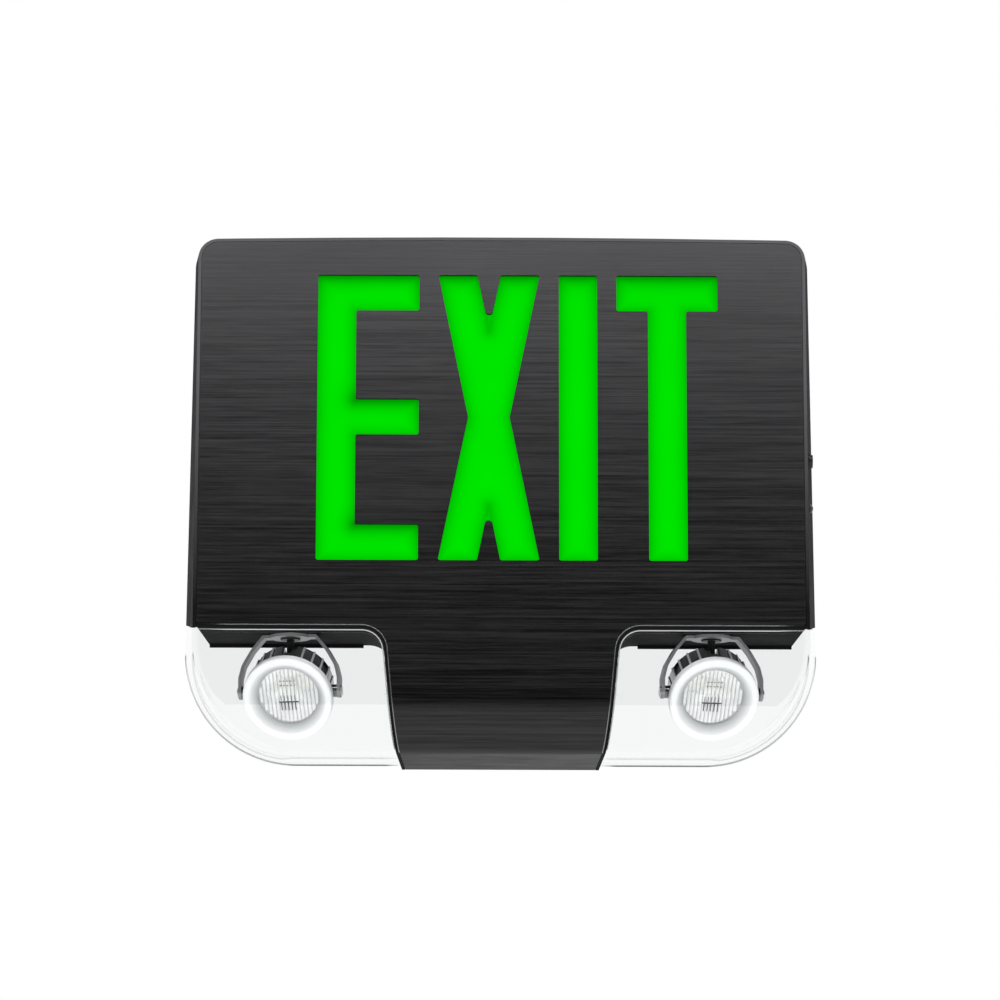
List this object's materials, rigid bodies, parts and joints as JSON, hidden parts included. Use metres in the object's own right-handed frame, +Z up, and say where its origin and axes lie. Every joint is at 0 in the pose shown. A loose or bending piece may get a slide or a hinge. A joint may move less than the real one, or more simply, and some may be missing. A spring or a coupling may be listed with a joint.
{
  "type": "emergency exit light",
  "caption": "Wall exit sign with a leaning black face, cut-through green legend, and swivelling emergency lamps in clear covers below.",
  "frame": {"origin": "middle of the wiring box's screw pattern, on the wall plane", "axes": "+Y into the wall, -Y the way the sign faces, +Z up, +X to the reader's right"},
  "size_m": [0.3164, 0.0613, 0.2694],
  "materials": {
    "cast_black": "satin powder coat on die-cast aluminium",
    "brushed_black": "black anodised, brushed across",
    "legend_green": "translucent green acrylic, lit from behind",
    "tray_white": "matte white moulding",
    "led_board": "white solder mask",
    "led_lens": "clear resin over phosphor",
    "screw_steel": "zinc plated",
    "circuit_board": "green solder mask",
    "transformer_steel": "varnished laminations",
    "relay_case": "moulded case",
    "capacitor_sleeve": "shrink sleeve on an aluminium can",
    "terminal_green": "moulded polyamide",
    "fuse_glass": "glass tube with metal ends",
    "battery_sleeve": "heat-shrunk sleeve",
    "strap_steel": "zinc-plated sheet",
    "yoke_steel": "nickel-plated strap, satin",
    "black_nylon": "moulded nylon",
    "lead_rubber": "sleeved lead",
    "bezel_white": "gloss white moulding",
    "lamp_glass": "fluted clear glass",
    "reflector_chrome": "vacuum metallised",
    "lamp_chrome": "chrome-plated ribs",
    "button_red": "moulded",
    "indicator_green": "tinted resin",
    "clear_polycarbonate": "clear moulded polycarbonate"
  },
  "bodies": {
    "root": {"housing": "cast_black", "face_plate": "brushed_black", "legend_panel": "legend_green", "light_tray": "tray_white", "upper_led_board": "led_board", "lower_led_board": "led_board", "legend_leds": "led_lens", "tray_screws": "screw_steel", "control_board": "circuit_board", "board_screws": "screw_steel", "transformer": "transformer_steel", "relay": "relay_case", "capacitor": "capacitor_sleeve", "terminal_block": "terminal_green", "fuse": "fuse_glass", "battery_pack": "battery_sleeve", "battery_strap": "strap_steel", "strap_screws": "screw_steel", "wire_bushing": "black_nylon", "test_switch_body": "black_nylon", "indicator_led": "indicator_green", "right_lens": "clear_polycarbonate", "left_lens": "clear_polycarbonate", "back_plate": "cast_black", "left_swivel_bush": "black_nylon", "left_bush_nut": "black_nylon", "right_swivel_bush": "black_nylon", "right_bush_nut": "black_nylon"},
    "test_button": {"test_button": "button_red"},
    "left_yoke": {"left_yoke": "yoke_steel", "left_lead": "lead_rubber"},
    "left_lamp": {"left_bezel": "bezel_white", "left_glass": "lamp_glass", "left_reflector": "reflector_chrome", "left_lamp_shell": "lamp_chrome", "left_rear_cap": "lamp_chrome", "left_led_chip": "led_lens", "left_pivot_rivets": "yoke_steel"},
    "right_yoke": {"right_yoke": "yoke_steel", "right_lead": "lead_rubber"},
    "right_lamp": {"right_bezel": "bezel_white", "right_glass": "lamp_glass", "right_reflector": "reflector_chrome", "right_lamp_shell": "lamp_chrome", "right_rear_cap": "lamp_chrome", "right_led_chip": "led_lens", "right_pivot_rivets": "yoke_steel"}
  },
  "joints": [
    {"name": "test_press", "type": "slide", "parent": "root", "child": "test_button", "axis": [-1, 0, 0], "range_m": [0, 0.0012], "stiffness_N_per_m": 500},
    {"name": "left_swivel", "type": "hinge", "parent": "root", "child": "left_yoke", "pos_m": [-0.1048, -0.03, -0.1002], "axis": [0, 0, 1], "range_deg": [-50, 50]},
    {"name": "left_tilt", "type": "hinge", "parent": "left_yoke", "child": "left_lamp", "pos_m": [-0.1048, -0.03, -0.1284], "axis": [0.9848, -0.1736, 0], "range_deg": [-30, 30], "deforming": ["left_lead"]},
    {"name": "right_swivel", "type": "hinge", "parent": "root", "child": "right_yoke", "pos_m": [0.1048, -0.03, -0.1002], "axis": [0, 0, 1], "range_deg": [-50, 50]},
    {"name": "right_tilt", "type": "hinge", "parent": "right_yoke", "child": "right_lamp", "pos_m": [0.1048, -0.03, -0.1284], "axis": [0.9848, 0.1736, 0], "range_deg": [-30, 30], "deforming": ["right_lead"]}
  ]
}
